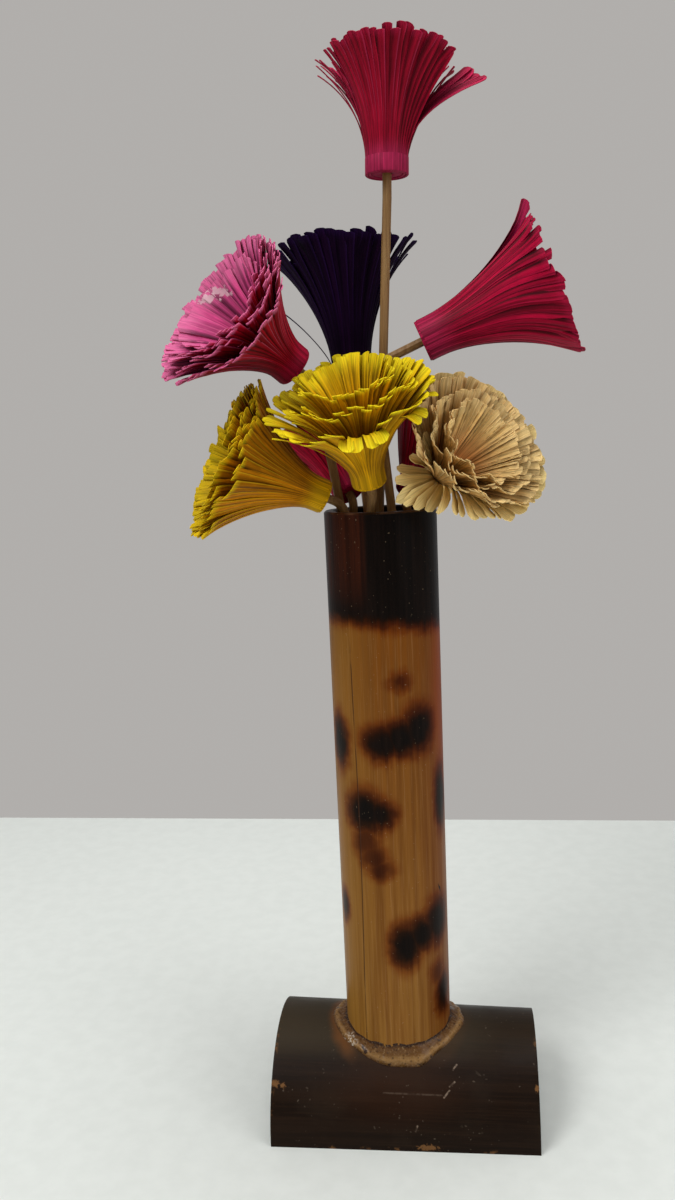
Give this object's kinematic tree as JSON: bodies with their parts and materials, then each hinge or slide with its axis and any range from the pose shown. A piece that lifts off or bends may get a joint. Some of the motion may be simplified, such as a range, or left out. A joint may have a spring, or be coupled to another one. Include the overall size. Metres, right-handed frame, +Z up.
{
  "type": "bamboo vase with strip flowers",
  "caption": "Upright scorched bamboo tube glued in a split half-culm saddle, holding loose flowers of rolled dyed bamboo strips on sticks.",
  "frame": {"origin": "on the table at the tube's axis, the centre of the tube's foot", "axes": "+Z up along the tube, +X along the saddle base, the front of the vase faces -Y"},
  "size_m": [0.1958, 0.1616, 0.5281],
  "materials": {
    "scorched_bamboo": "semi-gloss",
    "stained_bamboo": "satin",
    "set_glue": "gloss",
    "stem_bamboo": "matte",
    "magenta_strips": "matte",
    "purple_strips": "matte",
    "yellow_strips": "matte",
    "cream_strips": "matte"
  },
  "bodies": {
    "vase": {"culm_tube": "scorched_bamboo", "saddle_base": "stained_bamboo", "glue_bead": "set_glue"},
    "low_bunch": {"left_yellow_stem": "stem_bamboo", "left_yellow_petals_outer": "yellow_strips", "left_yellow_petals_middle": "yellow_strips", "left_yellow_petals_inner": "yellow_strips", "cream_stem": "stem_bamboo", "cream_petals_outer": "cream_strips", "cream_petals_middle": "cream_strips", "cream_petals_inner": "cream_strips", "cream_petals_heart": "cream_strips", "rear_left_magenta_stem": "stem_bamboo", "rear_left_magenta_petals_outer": "magenta_strips", "rear_left_magenta_petals_middle": "magenta_strips", "rear_right_magenta_stem": "stem_bamboo", "rear_right_magenta_petals_outer": "magenta_strips", "rear_right_magenta_petals_middle": "magenta_strips"},
    "tall_purple": {"tall_purple_stem": "stem_bamboo", "tall_purple_petals_outer": "purple_strips", "tall_purple_petals_middle": "purple_strips", "tall_purple_petals_inner": "purple_strips"},
    "top_magenta": {"top_magenta_stem": "stem_bamboo", "top_magenta_petals_outer": "magenta_strips", "top_magenta_petals_middle": "magenta_strips", "top_magenta_petals_inner": "magenta_strips"},
    "right_magenta": {"right_magenta_stem": "stem_bamboo", "right_magenta_petals_outer": "magenta_strips", "right_magenta_petals_middle": "magenta_strips", "right_magenta_petals_inner": "magenta_strips"},
    "front_yellow": {"front_yellow_stem": "stem_bamboo", "front_yellow_petals_outer": "yellow_strips", "front_yellow_petals_middle": "yellow_strips", "front_yellow_petals_inner": "yellow_strips"},
    "left_magenta": {"left_magenta_stem": "stem_bamboo", "left_magenta_petals_outer": "magenta_strips", "left_magenta_petals_middle": "magenta_strips", "left_magenta_petals_inner": "magenta_strips", "left_magenta_petals_heart": "magenta_strips"}
  },
  "joints": [
    {"name": "bunch_lift", "type": "slide", "parent": "vase", "child": "low_bunch", "axis": [0, 0, 1], "range_m": [0, 0.295]},
    {"name": "tall_purple_lift", "type": "slide", "parent": "low_bunch", "child": "tall_purple", "axis": [0, 0, 1], "range_m": [0, 0.295]},
    {"name": "top_magenta_lift", "type": "slide", "parent": "tall_purple", "child": "top_magenta", "axis": [0, 0, 1], "range_m": [0, 0.295]},
    {"name": "right_magenta_lift", "type": "slide", "parent": "low_bunch", "child": "right_magenta", "axis": [0, 0, 1], "range_m": [0, 0.07]},
    {"name": "front_yellow_lift", "type": "slide", "parent": "low_bunch", "child": "front_yellow", "axis": [0, 0, 1], "range_m": [0, 0.13]},
    {"name": "left_magenta_lift", "type": "slide", "parent": "front_yellow", "child": "left_magenta", "axis": [0, 0, 1], "range_m": [0, 0.21]}
  ]
}
